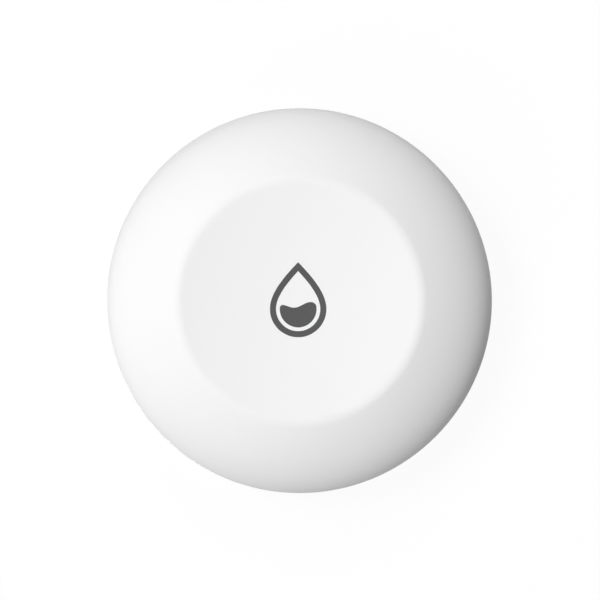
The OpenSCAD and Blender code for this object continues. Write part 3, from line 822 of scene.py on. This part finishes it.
smoothNodes = [
    ("base_shell", "baseShell", shellPlastic, "housing", "white_shell"),
    ("battery_cover", "batteryCover", shellPlastic, "battery_cover", "white_shell"),
    ("cover_gasket", "seamGasket", sealRubber, "housing", "seal_rubber"),
    ("battery_cover_seal", "coverSeal", sealRubber, "battery_cover", "seal_rubber"),
    ("probe_seals", "probeSeals", sealRubber, "housing", "seal_rubber"),
    ("probe_screws", "probeScrews", probeSteel, "housing", "probe_metal"),
    ("coin_cell", "coinCell", nickelPlate, "housing", "cell_steel"),
]
for nodeName, pieceName, material, body, slot in smoothNodes:
    source = nodes[nodeName].data
    points = np.empty(len(source.vertices) * 3)
    source.vertices.foreach_get("co", points)
    corners = np.empty(len(source.loops), int)
    source.loops.foreach_get("vertex_index", corners)
    points, corners = points.reshape(-1, 3), corners.reshape(-1, 3)
    piece = makePiece(pieceName, points, corners, material, sharp=30, turnOut=False)
    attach(piece, body)
    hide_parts(nodeName)

# Finishes of the nodes that are shown as they are
plainNodes = {
    "cell_positive_contact": nickelPlate,
    "cell_negative_contact": nickelPlate,
    "probe_standoffs": turnedBrass,
    "circuit_board": solderMask,
    "board_screws": nickelPlate,
    "radio_chip": chipEpoxy,
    "crystal": nickelPlate,
    "chip_passives": chipCeramic,
    "antenna_trace": antennaFoil,
    "status_led": lampResin,
    "switch_body": chipEpoxy,
    "switch_cover_plate": nickelPlate,
    "switch_plunger": chipEpoxy,
}
for nodeName, material in plainNodes.items():
    nodes[nodeName].data.materials.clear()
    nodes[nodeName].data.materials.append(material)
print("nodes dressed")


# Studio, in metres

studio = {
    "white": (1.0, 1.0, 1.0, 1.0),
    "ambient": 0.147,        # light from all round
    "aimZ": 8 * mm,          # height that the lamps are turned to
    "lampDistance": 0.9,
    "lamps": [
        # name, azimuth from +X, elevation, width, watts
        ("keyLamp", 160.0, 62.0, 0.4, 4.54),
        ("backLamp", 90.0, 45.0, 0.5, 2.62),
        ("frontLamp", 240.0, 36.0, 0.5, 2.48),
        ("lowLamp", 200.0, -24.0, 0.4, 1.3),
        ("underLamp", 215.0, -78.0, 0.2, 2.9),
    ],
}
scene = bpy.context.scene
scene.view_settings.view_transform = "Standard"


# 1 for the rays that show the background: straight to the camera, mirrored or through something clear
def shownRays(start):
    path = start.node("ShaderNodeLightPath", out=None)
    kinds = ("Is Camera Ray", "Is Glossy Ray", "Is Transmission Ray")
    direct, mirrored, through = [Link(start.tree, path.outputs[kind]) for kind in kinds]
    return direct.math("MAXIMUM", direct.math("MAXIMUM", direct, mirrored), through)


world = bpy.data.worlds.new("studioWorld")
scene.world = world
brightness = studio["ambient"] + (1 - studio["ambient"]) * shownRays(freshTree(world))
sky = brightness.node("ShaderNodeBackground", None, {"Color": studio["white"], "Strength": brightness})
sky.node("ShaderNodeOutputWorld", None, {"Surface": sky}, None)

target = np.array([0.0, 0.0, studio["aimZ"]])
for lampName, azimuth, elevation, width, watts in studio["lamps"]:
    light = bpy.data.lights.new(lampName, "AREA")
    light.shape = "DISK"
    light.size = width
    light.energy = watts
    lamp = bpy.data.objects.new(lampName, light)
    turn, tilt = math.radians(azimuth), math.radians(elevation)
    away = np.array([math.cos(tilt) * math.cos(turn), math.cos(tilt) * math.sin(turn), math.sin(tilt)])
    lamp.location = target + studio["lampDistance"] * away
    lamp.rotation_euler = (math.pi / 2 - tilt, 0, turn + math.pi / 2)
    lamp.visible_camera = False
    scene.collection.objects.link(lamp)
print("studio lit")


# Floor, seen from above only, so that the low lamps and the views from below reach the underside

ground = {
    "size": 4.0,
    "steps": 9,
    "z": -0.05 * mm,         # just under the feet, so that the two never share a plane
    "plainWhite": 0.93,      # share of it that reads as plain white to the camera
    "contact": 3 * mm,       # how near the object has to be for the painted contact shadow where it stands
    "contactSamples": 16,
    "shown": 0.97,           # its colour as the camera sees it
    "bounce": 0.42,          # its colour as it lights the object from below
    "grit": 25 * mm,         # size of its faint unevenness
    "gritDepth": 0.02,
}
floorSide = np.linspace(-0.5, 0.5, ground["steps"]) * ground["size"]
floorGrid = np.stack(np.meshgrid(floorSide, floorSide, [ground["z"]]), -1).reshape(-1, 3)
floorPaint = bpy.data.materials.new("floorPaint")
shown = shownRays(freshTree(floorPaint))
direct = shown.node("ShaderNodeLightPath", None, None, "Is Camera Ray")
grit = noise(shown.node("ShaderNodeTexCoord", None, None, "Object"), ground["grit"], detail=3.0)
# Painted contact shadow: ambient occlusion darkens the floor's colour and its white share where the
# object is near
nearby = {"Distance": ground["contact"]}
openness = grit.node("ShaderNodeAmbientOcclusion", {"samples": ground["contactSamples"]}, nearby, "AO")
contactShadowFactor = 1 - direct * (1 - openness)    # painted contact shadow, for camera rays only: the metal underneath mirrors a floor without that shadow
extra = ground["shown"] * contactShadowFactor - ground["bounce"]
tone = ground["bounce"] + extra * shown - ground["gritDepth"] * grit
colour = tone.node("ShaderNodeCombineColor", None, {0: tone, 1: tone, 2: tone})
matte = colour.node("ShaderNodeBsdfDiffuse", None, {"Color": colour})
plain = colour.node("ShaderNodeEmission", None, {"Color": studio["white"], "Strength": 1.0})
whiteShare = shown * contactShadowFactor * ground["plainWhite"]
topSide = colour.node("ShaderNodeMixShader", None, {0: whiteShare, 1: matte, 2: plain})
below = colour.node("ShaderNodeNewGeometry", None, None, "Backfacing")
shadow = colour.node("ShaderNodeLightPath", None, None, "Is Shadow Ray")
hidden = below.math("MAXIMUM", below, shadow)
clear = colour.node("ShaderNodeBsdfTransparent")
surface = colour.node("ShaderNodeMixShader", None, {0: hidden, 1: topSide, 2: clear})
colour.node("ShaderNodeOutputMaterial", None, {"Surface": surface}, None)
floorCells = gridCells(ground["steps"], ground["steps"], False, False)
floor = makePiece("studioFloor", floorGrid, floorCells, floorPaint, turnOut=False)
print("floor laid")


# Camera, straight above

view = {
    "lens": 1000.0,
    "sensor": 36.0,
    "frameWidth": 77.96 * mm,    # width of the picture at the widest line
    "x": 0.065 * mm,             # middle of the picture, from the housing's axis
    "y": 0.091 * mm,
    "near": 0.1,
    "far": 10.0,
}
eye = bpy.data.cameras.new("viewCamera")
eye.lens = view["lens"]
eye.sensor_width = view["sensor"]
eye.clip_start = view["near"]
eye.clip_end = view["far"]
camera = bpy.data.objects.new("viewCamera", eye)
eyeDistance = view["frameWidth"] * view["lens"] / view["sensor"]
camera.location = (view["x"], view["y"], widestZ * mm + eyeDistance)
scene.collection.objects.link(camera)
scene.camera = camera
